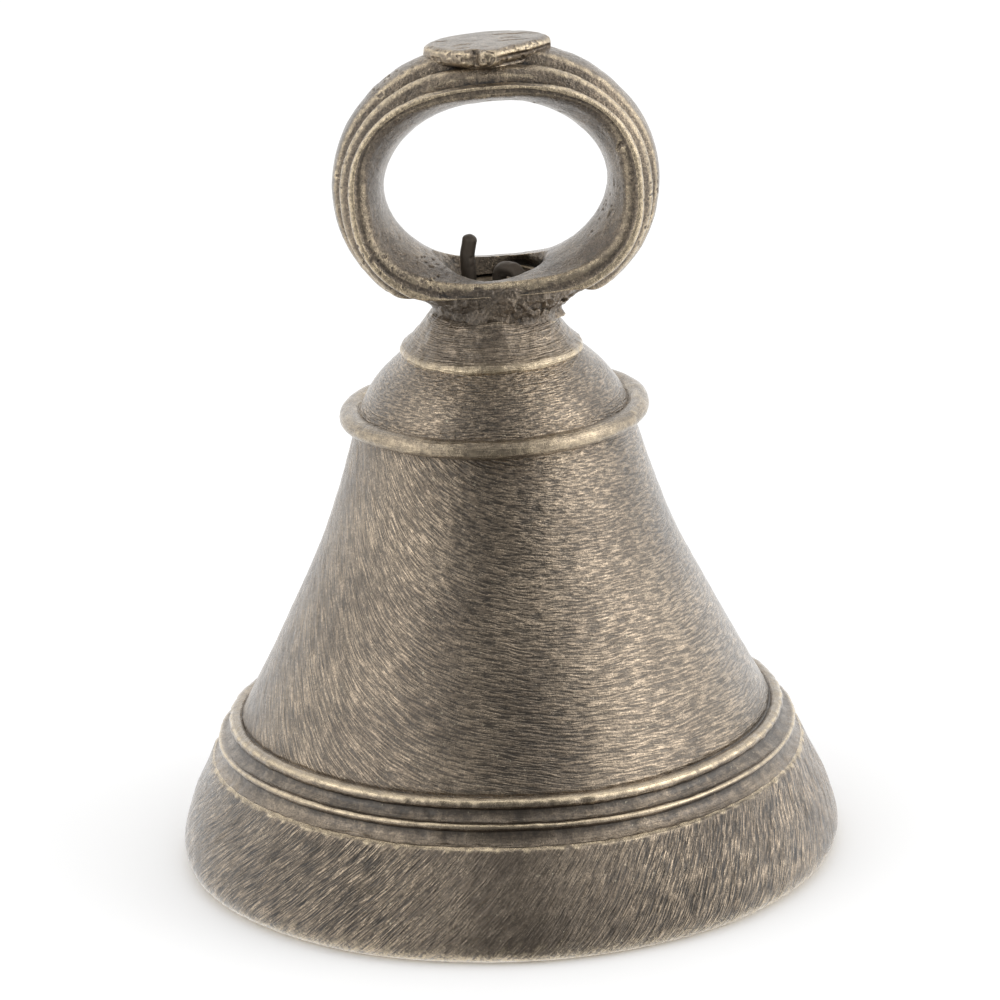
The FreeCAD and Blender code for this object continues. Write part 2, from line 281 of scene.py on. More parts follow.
COLUMNS = 760
BORE = 3.4
DOME = [(6.0, 54.2), (8.2, 53.25), (10.8, 51.1), (12.5, 49.0), (13.75, 46.6)]
WAIST = [(13.75, 46.6), (14.25, 44.6), (17.7, 34.2), (22.55, 24.0), (25.2, 18.8), (27.0, 15.35)]
LEDGE = [
    (27.0, 15.35), (27.1, 14.95), (27.4, 15.15), (27.8, 15.22), (28.2, 15.05), (28.45, 14.7), (28.38, 14.35),
]
UPPER_COVE = [(28.38, 14.35), (28.12, 14.1), (28.3, 13.6), (28.9, 13.15), (29.4, 13.1)]
LOWER_EDGE = [(29.4, 13.1), (29.62, 13.0), (29.7, 12.78), (29.52, 12.5)]
LOWER_COVE = [(29.52, 12.5), (29.22, 12.25), (29.35, 11.7), (29.75, 11.25), (30.15, 11.0)]
LIP = [
    (30.15, 11.0), (30.5, 10.75), (31.6, 8.5), (32.6, 6.6), (33.4, 4.4), (33.88, 2.4), (33.75, 1.1),
    (33.2, 0.3), (32.6, 0),
]
FOOT = [(32.6, 0), (31.2, 0.0), (29.9, 0)]
INSIDE = [
    (29.9, 0), (28.7, 5.5), (23.7, 15.2), (19.5, 24), (14.7, 34.2), (11.2, 44.6), (9.6, 48.3), (6.8, 50.5),
    (BORE, 51.4),
]
CROWN_Z = 54.2
LIP_EDGE_Z = 10.8
UPPER_RIDGE_Z = 14.7
# Painted glints with some worn gold on the crests: where (radius, height), how wide and how bright.
CRESTS = [((28.3, 14.98), 0.2, 1.0), ((27.8, 15.22), 0.4, 0.3), ((29.6, 13.02), 0.17, 1.0)]


WAIST_MEAN_R, BELL_MEAN_R, LIP_MEAN_R = 21.0, 24.0, 33.0


def waist_slope(angle):
    """The scraper's direction on the waist: steep on the left of the front, level on the right."""
    off = math.remainder(angle + 2.6, TURN)
    return 0.06 + 0.8 * math.exp(-((off / 0.75) ** 2))


def lip_slope(angle):
    """The file's direction on the lip: leaning on the left, near upright on the right."""
    return -(0.9 + 0.2 * math.cos(angle))


def flow(section, arc):
    """UVs in mm for the tool marks: u runs along each mark and v across it."""
    angle = SEAM + np.linspace(0, TURN, COLUMNS + 1)
    waist_rows = (section[:, 1] > 15.0) & (section[:, 1] < 46.6) & (section[:, 0] > 13.0)
    lip_rows = (section[:, 1] < 10.85) & (section[:, 0] > 30.2)
    climb = np.array([math.tan(waist_slope(a)) for a in angle])
    drift = np.cumsum(climb) * (angle[1] - angle[0]) * WAIST_MEAN_R
    behind = angle - SEAM
    drift -= drift[-1] * (rise(0, 1.2, behind) + rise(TURN - 1.2, TURN, behind)) / 2
    u = np.broadcast_to(angle * BELL_MEAN_R, (len(section), COLUMNS + 1)).copy()
    v = np.broadcast_to(arc[:, None], u.shape).copy()
    v[waist_rows] = (arc[waist_rows][:, None] - drift) * 0.85
    lean = np.array([1 / math.tan(lip_slope(a)) for a in angle])
    below = arc[lip_rows][:, None] - arc[lip_rows][0]
    v[lip_rows] = angle * LIP_MEAN_R - below * lean
    u[lip_rows] = below * 1.1 + 40
    radius = section[:, 0][:, None]
    level = section[:, 1][:, None] + 0 * angle
    flat = np.stack([radius * np.cos(angle), radius * np.sin(angle), level], -1).reshape(-1, 3)
    v += (0.18 * noise(flat, 3.5, 201) + 0.04 * noise(flat, 1.3, 203)).reshape(v.shape)
    uv = np.stack([u, v], -1)
    return np.concatenate([uv, uv[:1]])


def band_flow(grid):
    """UVs in mm for marks that run round a hoop."""
    closed = np.concatenate([grid, grid[:1]])
    v = np.concatenate([[0], np.cumsum(np.linalg.norm(np.diff(closed[:, 0], axis=0), axis=1))])
    u = np.linspace(0, TURN, grid.shape[1] + 1) * np.hypot(grid[..., 0], grid[..., 1]).mean()
    return np.stack(np.broadcast_arrays(u[None, :], v[:, None]), -1)


def bell_section():
    """The casting's closed (radius, height) outline: from the crown down the outside, then up inside."""
    return profile(
        (0.4, [(BORE, CROWN_Z), (6.0, CROWN_Z)]),
        (0.3, DOME),
        (0.28, WAIST),
        (0.09, LEDGE),
        (0.12, UPPER_COVE),
        (0.07, LOWER_EDGE),
        (0.12, LOWER_COVE),
        (0.24, LIP),
        (0.45, FOOT),
        (0.8, INSIDE),
        (0.5, [(BORE, 51.4), (BORE, CROWN_Z)]),
    )


def scraper_cuts(section, arc, outer, shape):
    """A height map of the scraper cuts on waist and dome and the coarser file cuts on the lip."""
    height = np.zeros(shape)
    level = section[:, 1]
    light = (0.45, 0.7), (0.006, 0.018)
    heavy = (0.4, 0.6), (0.012, 0.034)
    for rows, count, seed, length, (width, depth), slope in (
        ((level > 15.3) & (level < 46.0), 6500, 3, (1.4, 4.5), light, waist_slope),
        (level < 10.2, 3000, 4, (2.0, 6.0), heavy, lip_slope),
        (level > 46.9, 900, 5, (1.5, 5.0), light, lambda angle: 0.0),
    ):
        reach = arc[outer & rows]
        gouges(height, TURN / COLUMNS, section[:, 0], arc, (reach[0], reach[-1]), count, seed,
               length, width, depth, slope)
    return height


def casting_relief(section, arc, outer, flat, shape):
    """How far the finished surface stands off the turned one: facets, cuts, ragged ledges, a cast inside."""
    level = section[:, 1]
    height = scraper_cuts(section, arc, outer, shape)
    facets = 0.09 * noise(flat, 9.0, 2) + 0.02 * noise(flat, 2.6, 5)
    grain = 0.008 * rough(flat, 1.0, 8, 2)
    height += (facets + grain).reshape(shape)
    cast = 0.12 * rough(flat, 3.0, 31) + 0.05 * noise(flat, 0.9, 33)
    inside = (~outer)[:, None] & (level > 0.2)[:, None]
    height = np.where(inside, cast.reshape(shape), height)
    height = np.where((level < 0.02)[:, None], 0, height)
    ragged = np.exp(-(((level - UPPER_RIDGE_Z) / 0.5) ** 2))[:, None] * (section[:, 0] > 27.6)[:, None]
    height += ragged * (0.09 * noise(flat, 1.1, 41) + 0.04 * noise(flat, 0.5, 43)).reshape(shape)
    ledges = (rise(10.6, 11.2, level) * (1 - rise(15.2, 15.6, level)) * outer)[:, None]
    height += ledges * (0.05 * rough(flat, 1.6, 47, 3)).reshape(shape)
    lip_edge = np.exp(-(((level - LIP_EDGE_Z) / 0.35) ** 2))[:, None]
    return height + lip_edge * 0.09 * noise(flat, 0.7, 45).reshape(shape)


def mark_wear(casting, section, outer, angle):
    """Stores where the casting is filed, worn bright, crested with painted glints, and stained, with painted
    shade on its front, for its material.
    """
    level = section[:, 1][:, None] * outer[:, None]
    everywhere = 0 * angle
    lip = (1 - rise(10.4, 11.0, level)) * outer[:, None]
    fillets = rise(10.4, 11.0, level) * (1 - rise(15.1, 15.6, level))
    facing = np.exp(-((off_front(angle[0]) / 0.3) ** 2))
    low_waist = 1 - rise(16, 30, level)
    # Painted glints, with some worn gold, along the fillet crests.
    crest = sum(share * np.exp(-(((section - spot) ** 2).sum(1) / wide**2)) for spot, wide, share in CRESTS)
    store(casting, "filed", (1 - 0.8 * fillets) * (1 + lip * (0.8 - 1.3 * facing)))
    store(casting, "worn", np.clip(1 - level / 2.4, 0, 1) * outer[:, None] + everywhere)
    store(casting, "crest", crest[:, None] + everywhere)
    # Staining on the lip all round, and painted shade on the front of the lip and of the low waist.
    store(casting, "stain_and_front_shade", 0.4 * lip + 0.25 * lip * facing + 0.2 * facing * low_waist + everywhere)


def bell_casting():
    """Sound bow, fillets, waist, dome and the inside, as one hand-finished casting."""
    section = bell_section()
    steps = np.linalg.norm(np.diff(section, axis=0, append=section[:1]), axis=1)
    arc = np.concatenate([[0], np.cumsum(steps)])[:-1]
    grid, angle = turned(section, COLUMNS)
    normals = spread(outward(section), angle)
    outer = arc < arc[np.argmin(np.abs(section - FOOT[0]).sum(1))]
    height = casting_relief(section, arc, outer, grid.reshape(-1, 3), grid.shape[:2])
    grid = grid + normals * height[..., None]
    zone = rise(8.0, 12.0, section[:, 1]) * (1 - rise(16.0, 22.0, section[:, 1])) * outer
    sway = 0.16 * np.sin(2 * angle + 0.6) + 0.1 * np.sin(3 * angle + 2.0) + 0.05 * np.sin(7 * angle)
    grid[..., 2] += zone[:, None] * sway
    grid[..., 2] = np.maximum(grid[..., 2], 0)
    casting = hoop("bell_casting", grid, flow(section, arc))
    mark_wear(casting, section, outer, angle)
    return casting


# ---------------------------------------------------------------- bead, collar and neck


BEAD_R, BEAD_Z = 14.5, 46.55
COLLAR_RIM = (9.15, 53.1)


def bead_moulding():
    """The round moulding at the shoulder: bent by hand, so it sags and thins a little."""
    around = np.linspace(0, TURN, 36, endpoint=False)
    section = np.stack([BEAD_R + 1.15 * np.cos(around), BEAD_Z + 0.95 * np.sin(around)], -1)
    grid, angle = turned(section, 900)
    normals = spread(outward(section), angle)
    flat = grid.reshape(-1, 3)
    height = 0.07 * noise(flat, 4.0, 51) + 0.035 * noise(flat, 1.2, 52) + 0.012 * rough(flat, 0.5, 53, 2)
    grid = grid + normals * height.reshape(grid.shape[:2])[..., None]
    grid[..., 2] += 0.22 * np.cos(angle - 0.4) + 0.1 * np.sin(2 * angle + 0.4) + 0.05 * np.sin(5 * angle)
    bead = hoop("bead_moulding", grid, band_flow(grid))
    store(bead, "filed", np.full(grid.shape[:2], 0.4))
    return bead


def collar_skirt():
    """The turned collar, with a thin uneven edge that stands clear of the dome."""
    section = profile(
        (0.3, [(BORE, 52.9), (6.0, 52.9), (8.2, 52.95)]),
        (0.09, [(8.1, 52.95), (8.6, 52.6), (9.0, 52.7), (9.2, 53.1), (9.05, 53.5), (8.7, 53.75)]),
        (0.16, [(8.7, 53.75), (8.2, 54.15), (7.5, 54.95), (6.85, 55.85), (6.2, 56.75), (5.5, 57.2)]),
        (0.4, [(5.5, 57.2), (4.5, 57.25), (BORE, 57.25)]),
        (0.4, [(BORE, 57.25), (BORE, 52.9)]),
    )
    grid, angle = turned(section, 620)
    normals = spread(outward(section), angle)
    flat = grid.reshape(-1, 3)
    height = 0.17 * noise(flat, 3.0, 61) + 0.08 * rough(flat, 1.3, 62, 4)
    lumpy = rise(55.4, 57.2, flat[:, 2]) * (0.15 * rough(flat, 1.2, 63))
    wall = np.hypot(flat[:, 0], flat[:, 1]) > BORE + 0.2
    height = np.where(wall, height + lumpy, 0.1 * rough(flat, 1.5, 64))
    grid = grid + normals * height.reshape(grid.shape[:2])[..., None]
    low = 1 - rise(53.0, 55.0, section[:, 1])
    grid[..., 2] += low[:, None] * (-0.2 + 0.12 * np.sin(2 * angle + 2.2) + 0.07 * np.sin(3 * angle))
    collar = hoop("collar_skirt", grid, band_flow(grid))
    rim = np.exp(-(((section - COLLAR_RIM) ** 2).sum(1) / 0.45**2))
    store(collar, "filed", np.full(grid.shape[:2], 0.6))
    store(collar, "crest", rim[:, None] + 0 * angle)
    return collar


def neck_casting():
    """The rough metal cast on between the collar and the ring's foot, flaring upwards."""
    outside = curve_through([
        (0.3, 56.0), (0.05, 57.0), (0.5, 57.8), (1.4, 58.4), (2.6, 59.0), (3.3, 59.7), (3.35, 60.2),
        (2.6, 60.45),
    ], 0.09)
    inside = curve_through([(5.2, 60.2), (5.0, 59.6), (3.75, 59.2), (3.45, 58.4), (BORE, 56.6)], 0.2)
    angle = SEAM + np.linspace(0, TURN, COLUMNS, endpoint=False)
    flare, height = outside[:, 0][:, None], outside[:, 1][:, None]
    lift = rise(56.4, 60.0, height)
    wide_x, wide_y = 6.35 + flare * 1.02, 6.05 + flare * 0.17
    outer_wall = np.stack([
        0.5 + 0.5 * lift + wide_x * np.cos(angle), wide_y * np.sin(angle), height + 0 * angle,
    ], -1)
    flat = outer_wall.reshape(-1, 3)
    away = (flat - (0.6, 0, 0)) * (1, 1, 0)
    away /= np.linalg.norm(away, axis=1, keepdims=True)
    right = rise(1.0, 6.5, flat[:, 0]) * (1 - rise(58.8, 59.8, flat[:, 2]))
    bumps = (0.2 + 0.2 * right) * rough(flat, 1.7, 71, 5)
    bumps -= (0.12 + 0.35 * right) * rise(0.2, 0.6, noise(flat, 0.75, 75))
    flat = flat + away * bumps[:, None]
    flat[:, 2] += 0.12 * rough(flat, 1.1, 77)
    outer_wall = flat.reshape(outer_wall.shape)
    inner_wall, _ = turned(inside, COLUMNS)
    step = np.linspace(0, 1, 14)[1:-1, None, None]
    shelf = outer_wall[-1] * (1 - step) + inner_wall[0] * step
    closing = inner_wall[-1] * (1 - step) + outer_wall[0] * step
    return hoop("neck_casting", np.concatenate([outer_wall, shelf, inner_wall, closing]))


# ---------------------------------------------------------------- ring handle and table

RING_X, RING_Z = 1.0, 69.8
RING_LEAN = math.radians(-2.4)
# Each loop: half width, half height, centre height, squareness, depth from mid plane.
RING_LOOPS = [
    (11.1, 8.47, 69.87, 1.95, 0.0),
    (11.5, 8.7, 69.97, 2.15, 3.2),
    (12.25, 9.08, 70.15, 2.5, 5.2),
    (12.75, 9.33, 70.27, 2.7, 6.0),
    (13.3, 9.9, 70.1, 2.6, 6.25),
    (13.62, 10.3, 70.0, 2.5, 6.2),
    (13.95, 10.7, 69.85, 2.4, 6.42),
    (14.35, 11.15, 69.75, 2.4, 6.3),
    (14.52, 11.4, 69.7, 2.35, 5.8),
    (14.25, 11.2, 69.65, 2.3, 5.3),
    (13.75, 10.9, 69.65, 2.2, 4.95),
    (14.35, 11.8, 69.6, 2.15, 4.65),
    (15.2, 12.85, 69.6, 2.1, 4.2),
    (15.45, 13.1, 69.6, 2.1, 3.65),
    (15.2, 12.85, 69.6, 2.05, 3.1),
    (14.6, 12.3, 69.65, 2.05, 2.75),
    (15.45, 13.35, 69.7, 2.0, 2.4),
    (16.1, 14.1, 69.75, 2.0, 1.8),
    (16.35, 14.4, 69.76, 2.0, 0.0),
]


def leaned(points):
    """Points turned to the ring's slight lean on the neck."""
    x, z = points[..., 0] - RING_X, points[..., 2] - RING_Z
    turned_x = RING_X + x * math.cos(RING_LEAN) + z * math.sin(RING_LEAN)
    turned_z = RING_Z - x * math.sin(RING_LEAN) + z * math.cos(RING_LEAN)
    return np.stack([turned_x, points[..., 1], turned_z], -1)


def rounded_loop(loops, angle):
    """Points of superellipse loops at the given angles."""
    half_x, half_z, centre, square, depth = (loops[:, k][:, None] for k in range(5))
    cos, sin = np.cos(angle), np.sin(angle)
    x = half_x * np.sign(cos) * np.abs(cos) ** (2 / square)
    z = centre + half_z * np.sign(sin) * np.abs(sin) ** (2 / square)
    return np.stack([RING_X + x, depth + 0 * x, z], -1)


def even_angles(count):
    """Angles that space a squarish loop's points evenly."""
    fine = np.linspace(0, TURN, 7200, endpoint=False)
    loop = rounded_loop(np.array([(14.0, 11.0, 70.0, 2.2, 0.0)]), fine)[0]
    steps = np.linalg.norm(np.roll(loop, -1, 0) - loop, axis=1)
    travelled = np.concatenate([[0], np.cumsum(steps)])
    return np.interp(np.arange(count) / count * travelled[-1], travelled, np.append(fine, TURN))


def socket_cutter():
    """The hollow in the ring's floor: a rough funnel with a pocket at its back right."""
    traced = curve_through([
        (3.0, 53.0), (3.35, 56.0), (3.4, 58.2), (3.75, 59.3), (4.3, 60.4), (4.75, 61.3), (5.3, 62.3),
        (6.1, 63.6),
    ], 0.15)
    grid, angle = turned(traced, 300)
    level = traced[:, 1][:, None]
    open_up = rise(58.0, 61.0, level)
    pocket = np.exp(-(((angle - TURN - 0.75) / 0.5) ** 2)) * np.exp(-(((level - 60.0) / 0.9) ** 2))
    dish = 0.2 * np.exp(-(((angle - SEAM - math.pi + 0.1) / 0.6) ** 2)) * rise(59.5, 61.5, level)
    swell = 1 + 0.05 * open_up * np.cos(2 * angle) + 0.3 * pocket + dish
    grid = grid * np.stack([swell, swell, np.ones_like(swell)], -1)
    grid[..., 0] += 0.45 * open_up
    flat = grid.reshape(-1, 3)
    flat = flat + flat * (1, 1, 0) * (0.03 * rough(flat, 1.6, 81))[:, None]
    return pod("socket_cutter", flat.reshape(grid.shape))


def ring_surface(angle):
    """The ring's ribbed surface, its ribs worn nearly flat beside the table, and its unit normals."""
    half = np.array(RING_LOOPS)
    loops = np.concatenate([half * (1, 1, 1, 1, -1), half[-2:0:-1]])
    # The spline's spacing goes by its first two columns, which are the half width and the depth.
    ribbed = curve_through(loops[:, [0, 4, 1, 2, 3]], 0.16, closed=True)[:, [0, 2, 3, 4, 1]]
    plain = ribbed.copy()
    for _ in range(110):
        plain = (np.roll(plain, 1, 0) + plain * 2 + np.roll(plain, -1, 0)) / 4
    plain[:, 4] = ribbed[:, 4]
    plain = np.where((ribbed[:, 0] > 14.3)[:, None], plain, ribbed)
    fading = 0.85 * np.exp(-((np.remainder(angle, TURN) - 1.56) / 0.33) ** 2)[:, None]
    grid = rounded_loop(ribbed, angle) * (1 - fading) + rounded_loop(plain, angle) * fading
    following = np.roll(grid, -1, 1) - np.roll(grid, 1, 1)
    crossing = np.roll(grid, -1, 0) - np.roll(grid, 1, 0)
    normals = np.cross(following, crossing)
    normals /= np.linalg.norm(normals, axis=-1, keepdims=True).clip(1e-9)
    from_centre = grid - np.array([RING_X, 0, RING_Z])
    outside = ribbed[:, 0] > 14.0
    return grid, normals * np.sign((from_centre * normals).sum(-1)[outside].mean())


def ring_band():
    """The oval ring: three ribs and two rolled edges outside, a soft crest inside, an open socket."""
    grid, normals = ring_surface(even_angles(800))
    flat = grid.reshape(-1, 3)
    worn = 0.08 * noise(flat, 5.0, 91) + 0.03 * noise(flat, 1.8, 92)
    skin = 0.018 * rough(flat, 0.7, 93, 3)
    pits = -0.14 * rise(0.5, 0.75, noise(flat, 0.4, 95)) * rise(0.1, 0.5, noise(flat, 4.0, 96))
    top_and_foot = rise(77.0, 81.0, flat[:, 2]) + (1 - rise(60.0, 61.5, flat[:, 2]))
    scaly = top_and_foot * 0.06 * rough(flat, 1.7, 97)
    height = (worn + skin + pits + scaly).reshape(grid.shape[:2])
    grid = grid + normals * height[..., None]
    foot = 60.3 - 0.3 * rise(7.0, 10.0, -grid[..., 0]) - 0.9 * rise(7.5, 10.5, grid[..., 0])
    below = np.maximum(foot - grid[..., 2], 0)
    grid[..., 2] += below - 0.7 * (1 - np.exp(-below / 0.7))
    band = hoop("ring_band", leaned(grid))
    return combined(band, socket_cutter(), "DIFFERENCE")


TABLE_X = 1.25
TABLE_SECTION = [
    (0.02, 84.22), (0.3, 84.22), (0.6, 84.2), (0.82, 84.16), (0.92, 84.08), (0.98, 83.85), (1.0, 83.5),
    (1.0, 83.1), (0.98, 82.75), (0.92, 82.45), (0.8, 82.1), (0.7, 81.2), (0.3, 80.6), (0.02, 80.6),
]


def table_outline(angle):
    """The table's outline about its centre: oval behind, drawn to a blunt point in front."""
    square = np.where(np.sin(angle) > 0, 2.0, 1.55)
    half_x, half_y = 6.3, np.where(np.sin(angle) > 0, 5.1, 5.5)
    x = half_x * np.sign(np.cos(angle)) * np.abs(np.cos(angle)) ** (2 / square)
    y = half_y * np.sign(np.sin(angle)) * np.abs(np.sin(angle)) ** (2 / square)
    return x, y


def table_plate():
    """The flat table: worn on top, with a thick pitted rim, notched in front and undercut on the right."""
    scaled = curve_through(np.array(TABLE_SECTION) * (6, 1), 0.09) / (6, 1)
    angle = SEAM + np.linspace(0, TURN, 620, endpoint=False)
    x, y = table_outline(angle)
    grid = np.stack([
        TABLE_X + scaled[:, 0][:, None] * x,
        scaled[:, 0][:, None] * y,
        scaled[:, 1][:, None] + 0 * x,
    ], -1)
    rim = rise(0.78, 0.95, scaled[:, 0])[:, None]
    ahead = off_front(angle)
    notch = np.exp(-(((ahead + 0.3) / 0.1) ** 2))
    grid[..., 1] += rim * notch * 0.7
    grid[..., 2] -= rim * notch * 0.3
    right = rise(0.1, 0.5, ahead) * (1 - rise(1.2, 1.6, ahead))
    below = 1 - rise(83.2, 83.6, scaled[:, 1])[:, None]
    grid[..., 1] += right * (0.35 * rim + 0.6 * below * rim)
    flat = grid.reshape(-1, 3)
    edge_zone = (rim * np.ones_like(x)).ravel() * (flat[:, 2] > 82.3)
    dents = 0.05 * rough(flat, 1.4, 101) * edge_zone
    pits = -0.09 * rise(0.2, 0.5, noise(flat, 0.42, 103)) * edge_zone
    top = (flat[:, 2] > 84.02) * (1 - edge_zone)
    under = (flat[:, 2] < 82.3) * 0.1 * rough(flat, 1.2, 107)
    centre = flat - (TABLE_X, 0, 83.0)
    away = centre / np.linalg.norm(centre, axis=1, keepdims=True)
    flat = flat + away * (dents + pits + under)[:, None]
    dings = -0.08 * rise(0.3, 0.6, noise(flat * (0.35, 1.4, 1), 0.8, 108))
    flat[:, 2] += top * (0.05 * noise(flat, 3.0, 105) + 0.02 * rough(flat, 0.8, 106, 2) + dings)
    return pod("table_plate", leaned(flat.reshape(grid.shape)))


# ---------------------------------------------------------------- iron


def bent_path(points, radii, step=0.12):
    """Straight runs joined by tangent arcs, as points about a step apart."""
    points = [np.array(point, float) for point in points]
    path = []
    here = points[0]
    for before, corner, after, radius in zip(points, points[1:], points[2:], radii):
        into = (corner - before) / np.linalg.norm(corner - before)
        out = (after - corner) / np.linalg.norm(after - corner)
        turn = math.acos(np.clip(into @ out, -1, 1))
        setback = radius * math.tan(turn / 2)
        start, end = corner - into * setback, corner + out * setback
        count = max(2, round(np.linalg.norm(start - here) / step))
        path += [here + (start - here) * t for t in np.arange(count) / count]
        inward = (out - into) / np.linalg.norm(out - into)
        centre = corner + inward * (radius / math.cos(turn / 2))
        count = max(3, round(radius * turn / step))
        first = start - centre
        for t in np.arange(count) / count:
            swing = t * turn
            path.append(centre + first * math.cos(swing) + into * radius * math.sin(swing))
        here = end
    count = max(2, round(np.linalg.norm(points[-1] - here) / step))
    path += [here + (points[-1] - here) * t for t in np.arange(count + 1) / count]
    return np.array(path)


def tube(path, radius, columns=28, blunt=0.0):
    """The grid of a round tube along a path, its ends rounded off over the blunt length."""
    along = np.gradient(path, axis=0)
    along /= np.linalg.norm(along, axis=1, keepdims=True)
    side = np.cross(along[0], (0.3, 1.0, 0.2))
    side /= np.linalg.norm(side)
    angle = np.linspace(0, TURN, columns, endpoint=False)[:, None]
    rows = []
    travelled = np.concatenate([[0], np.cumsum(np.linalg.norm(np.diff(path, axis=0), axis=1))])
    to_end = np.minimum(travelled, travelled[-1] - travelled)
    girth = radius * np.sqrt(1 - np.clip(1 - to_end / blunt, 0, 0.97) ** 2) if blunt else 0 * to_end + radius
    for point, direction, local_radius in zip(path, along, girth):
        side = side - direction * (side @ direction)
        side /= np.linalg.norm(side)
        other = np.cross(direction, side)
        rows.append(point + local_radius * (np.cos(angle) * side + np.sin(angle) * other))
    return np.array(rows)


def rusted(grid, seed, depth=0.03):
    """A tube's grid with shallow scale and pits."""
    middle = grid.mean(1, keepdims=True)
    away = grid - middle
    away /= np.linalg.norm(away, axis=-1, keepdims=True).clip(1e-9)
    flat = grid.reshape(-1, 3)
    height = depth * rough(flat, 0.9, seed) - 2 * depth * rise(0.5, 0.8, noise(flat, 0.5, seed + 9))
    return grid + away * height.reshape(grid.shape[:2])[..., None]


LEG_X, EYE_X = 1.05, 2.6
BOB_Z = 8.6


def hanger():
    """The iron hairpin: a free leg, the eye below the crown, and the leg bent over as a hook."""
    turn = math.radians(-38)
    reach = np.array([math.cos(turn), math.sin(turn), 0])
    hook_top = np.array([LEG_X, 0, 61.1])
    free_leg = [(-1.7, 0, 64.6), (-2.1, 0, 62.6), (-2.0, 0, 59.6), (-LEG_X, 0, 57.0)]
    eye = [
        (-LEG_X, 0, 50.6), (-EYE_X, 0, 47.4), (-EYE_X, 0, 43.6),
        (EYE_X, 0, 43.6), (EYE_X, 0, 47.4), (LEG_X, 0, 50.6),
    ]
    hook = [hook_top, hook_top + reach * 1.925, hook_top + reach * 2.75 + (0, 0, -1.0)]
    points = free_leg + eye + hook
    path = bent_path(points, [2, 2.5, 2.5, 2, 2, 1.5, 1.5, 2, 2, 0.95, 0.6])
    return pod("hanger_hairpin", rusted(tube(path, 0.745, blunt=0.55), 121, 0.022))


def clapper_shaft():
    """The iron rod, drawn down to a slim neck, with its end forged round into an eye."""
    around = np.linspace(0, TURN, 150, endpoint=False)
    ring = np.stack([0 * around, 2.4 * np.sin(around), 42.83 + 2.4 * np.cos(around)], -1)
    closed = np.concatenate([ring[-1:], ring, ring[:1]])
    eye_grid = tube(closed, 0.79, 30)[1:-1]
    eye = hoop("clapper_eye", rusted(eye_grid, 131, 0.02))
    section = curve_through([(1.38, 2.7), (1.35, 8.0), (1.25, 20.0), (1.12, 34.0), (1.1, 40.3)], 0.2)
    peen = curve_through([(0.3, 2.0), (1.6, 2.02), (2.0, 2.25), (2.08, 2.5), (1.38, 2.7)], 0.08)[:-1]
    grid, _ = turned(np.concatenate([peen, section]), 90)
    flat = grid.reshape(-1, 3)
    facets = 0.04 * noise(flat * (1, 1, 0.4), 1.6, 133) + 0.025 * rough(flat, 0.7, 134, 2)
    flat = flat * (1 + facets[:, None] * (1, 1, 0))
    shaft = pod("clapper_rod_forged", flat.reshape(grid.shape))
    return combined(shaft, eye, "UNION")


def clapper_weight():
    """The drop-shaped weight, hammered and worn flat where it strikes."""
    section = curve_through([
        (1.3, 2.7), (2.4, 2.65), (3.4, 3.3), (4.7, 4.75), (5.6, 7.0), (5.78, 8.6), (5.5, 10.3), (4.5, 12.4),
        (3.1, 14.8), (2.1, 16.7), (1.75, 17.0), (1.2, 17.0),
    ], 0.16)
    grid, _ = turned(section, 220)
    flat = grid.reshape(-1, 3)
    middle = flat - (0, 0, BOB_Z)
    away = middle / np.linalg.norm(middle, axis=1, keepdims=True)
    dents = 0.14 * (noise(flat, 2.6, 141) - 0.6) + 0.05 * rough(flat, 0.9, 142, 3)
    flat = flat + away * dents[:, None] * rise(1.5, 3.0, np.hypot(flat[:, 0], flat[:, 1]))[:, None]
    return pod("clapper_weight", flat.reshape(grid.shape))


# ---------------------------------------------------------------- materials


class Shader:
    """A small helper for writing node trees."""

    def __init__(self, name):
        self.material = bpy.data.materials.new(name)
        self.material.use_nodes = True
        self.tree = self.material.node_tree
        self.surface = self.tree.nodes["Principled BSDF"]

    def add(self, kind, settings=None, **inputs):
        """A new node with its properties and inputs set."""
        node = self.tree.nodes.new(kind)
        for key, value in (settings or {}).items():
            setattr(node, key, value)
        for key, value in inputs.items():
            self.feed(node.inputs[key.replace("_", " ")], value)
        return node

    def feed(self, socket, value):
        """Links a socket to the input, or sets the input's own value."""
        if isinstance(value, bpy.types.NodeSocket):
            self.tree.links.new(value, socket)
        else:
            socket.default_value = value

    def maths(self, operation, first, second=0.0):
        node = self.tree.nodes.new("ShaderNodeMath")
        node.operation = operation
        self.feed(node.inputs[0], first)
        self.feed(node.inputs[1], second)
        return node.outputs[0]

    def mix(self, factor, first, second, blend="MIX"):
        node = self.tree.nodes.new("ShaderNodeMix")
        node.data_type = "RGBA"
        node.blend_type = blend
        self.feed(node.inputs[0], factor)
        self.feed(node.inputs[6], first)
        self.feed(node.inputs[7], second)
        return node.outputs[2]

    def window(self, value, low, high, to_low=0.0, to_high=1.0):
        """The value mapped smoothly from low..high to to_low..to_high, and held outside."""
        node = self.tree.nodes.new("ShaderNodeMapRange")
        node.interpolation_type = "SMOOTHSTEP"
        for index, number in enumerate((value, low, high, to_low, to_high)):
            self.feed(node.inputs[index], number)
        return node.outputs[0]

    def attribute(self, name):
        return self.add("ShaderNodeAttribute", {"attribute_name": name}).outputs["Fac"]

    def cloud(self, size, detail=3.0, roughness=0.55, stretch=(1, 1, 1), seed=0.0, source="Object"):
        """Noise with swings of about size mm, from object space or the tooling UVs."""
        if source == "Object":
            start = self.add("ShaderNodeTexCoord").outputs["Object"]
            unit = 1 / (size * MM)
        else:
            start = self.add("ShaderNodeUVMap", {"uv_map": source}).outputs[0]
            unit = 1 / size
        scale = tuple(unit / s for s in stretch)
        shift = (seed, seed * 1.7, seed * 0.3)
        placed = self.add("ShaderNodeMapping", Vector=start, Scale=scale, Location=shift).outputs[0]
        node = self.add("ShaderNodeTexNoise", Vector=placed, Scale=1.0, Detail=detail, Roughness=roughness)
        return node.outputs[0]


